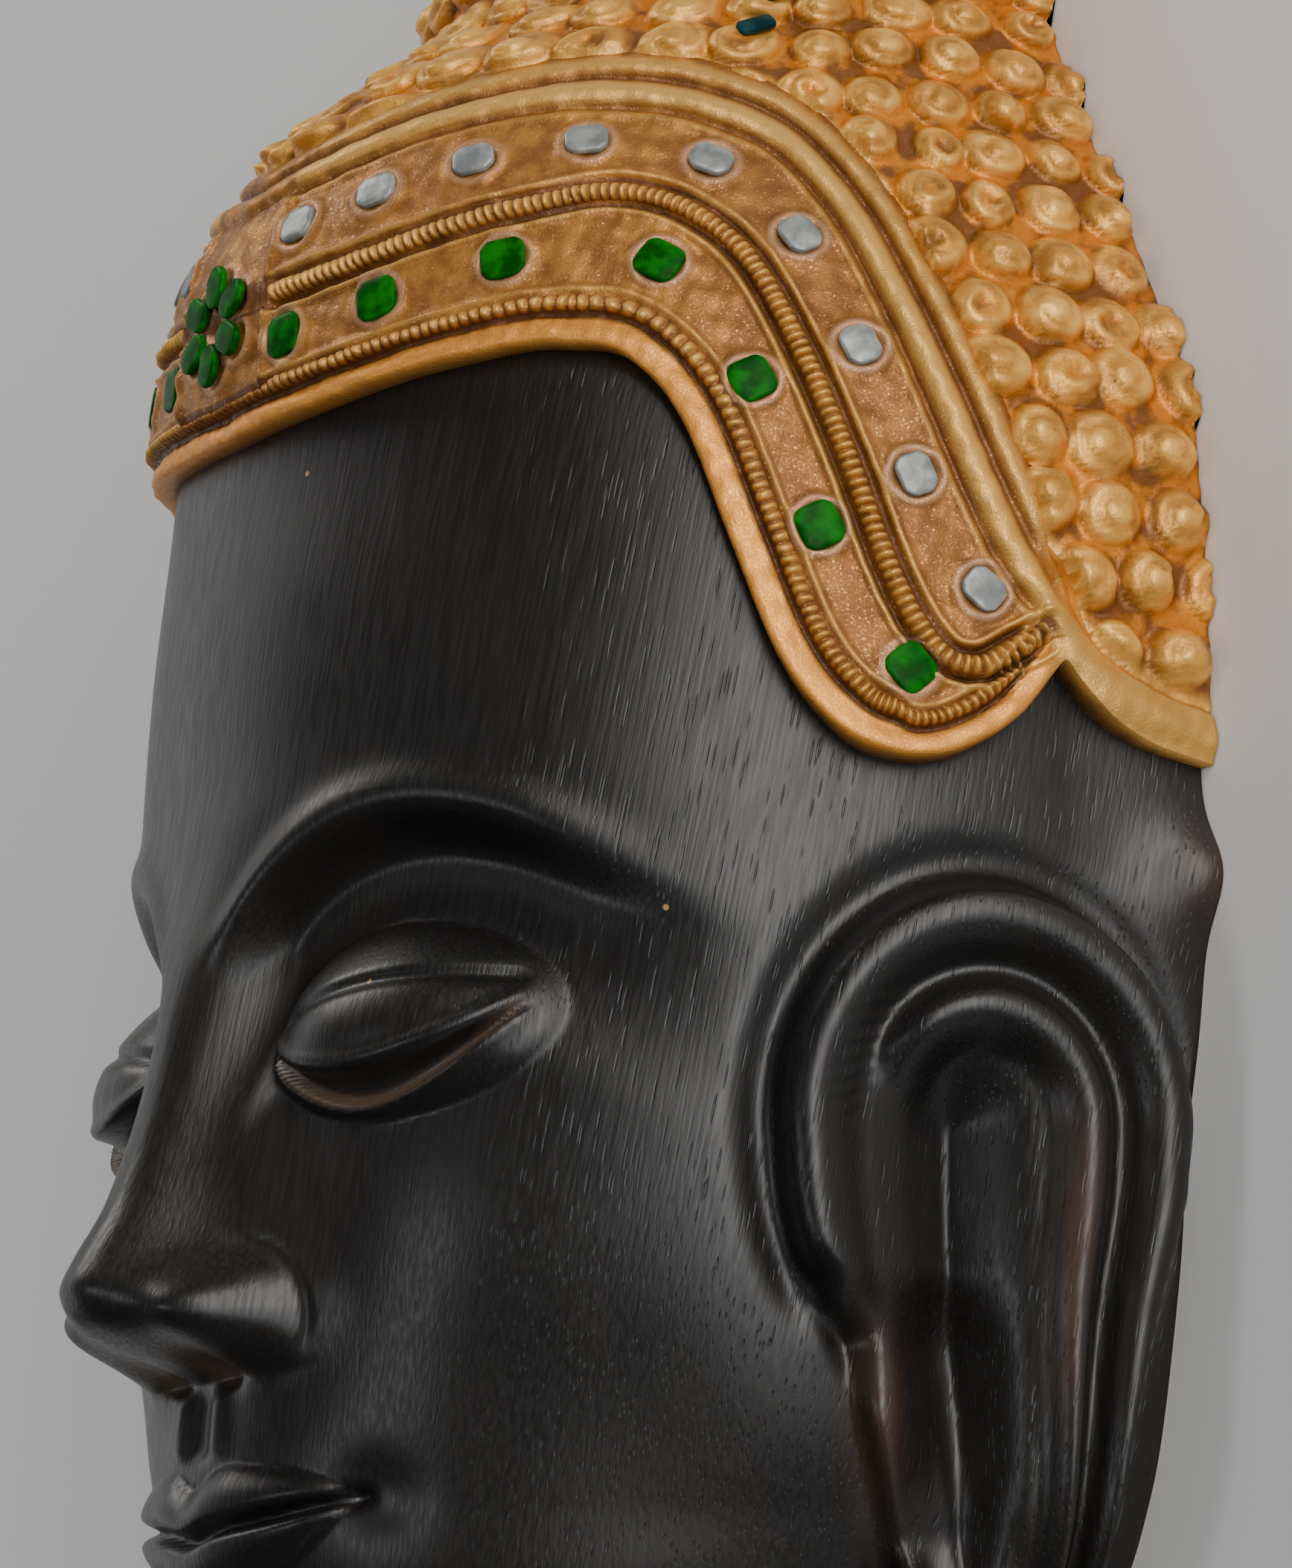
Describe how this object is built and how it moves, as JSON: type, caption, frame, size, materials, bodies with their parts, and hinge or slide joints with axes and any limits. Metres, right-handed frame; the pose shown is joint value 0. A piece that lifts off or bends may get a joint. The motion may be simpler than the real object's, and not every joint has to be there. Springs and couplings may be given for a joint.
{
  "type": "buddha mask",
  "caption": "Carved wooden wall mask of a calm head with long ears, a gilded crown inlaid with cut glass, a curled topknot and a hollowed flat back.",
  "frame": {"origin": "middle of the mask's length and width, on the plane of its flat back, which lies on the floor", "axes": "+X across the face towards the head's own left ear, +Y from the chin to the bud on the topknot, +Z out of the back towards the face"},
  "size_m": [0.1404, 0.262, 0.0884],
  "materials": {
    "lacquered_wood": "black lacquer on open pored wood, crown painted gold",
    "green_glass": "glossy deep green, backed",
    "silver_glass": "old mirror glass",
    "teal_glass": "glossy dark teal, backed"
  },
  "bodies": {
    "root": {"mask": "lacquered_wood", "green_tile_left_1": "green_glass", "green_tile_right_1": "green_glass", "green_tile_left_2": "green_glass", "green_tile_right_2": "green_glass", "green_tile_left_3": "green_glass", "green_tile_right_3": "green_glass", "green_tile_left_4": "green_glass", "green_tile_right_4": "green_glass", "green_tile_left_5": "green_glass", "green_tile_right_5": "green_glass", "green_tile_left_6": "green_glass", "green_tile_right_6": "green_glass", "green_tile_left_7": "green_glass", "green_tile_right_7": "green_glass", "front_rosette_petal_1": "green_glass", "front_rosette_petal_2": "green_glass", "front_rosette_petal_3": "green_glass", "front_rosette_petal_4": "green_glass", "front_rosette_petal_5": "green_glass", "front_rosette_petal_6": "green_glass", "silver_tile_left_1": "silver_glass", "silver_tile_right_1": "silver_glass", "silver_tile_left_2": "silver_glass", "silver_tile_right_2": "silver_glass", "silver_tile_left_3": "silver_glass", "silver_tile_right_3": "silver_glass", "silver_tile_left_4": "silver_glass", "silver_tile_right_4": "silver_glass", "silver_tile_left_5": "silver_glass", "silver_tile_right_5": "silver_glass", "silver_tile_left_6": "silver_glass", "silver_tile_right_6": "silver_glass", "silver_tile_left_7": "silver_glass", "silver_tile_right_7": "silver_glass", "silver_tile_left_8": "silver_glass", "silver_tile_right_8": "silver_glass", "silver_tile_left_9": "silver_glass", "silver_tile_right_9": "silver_glass", "teal_tile_left_1": "teal_glass", "teal_tile_left_2": "teal_glass", "teal_tile_right_1": "teal_glass", "teal_tile_right_2": "teal_glass"}
  },
  "joints": []
}
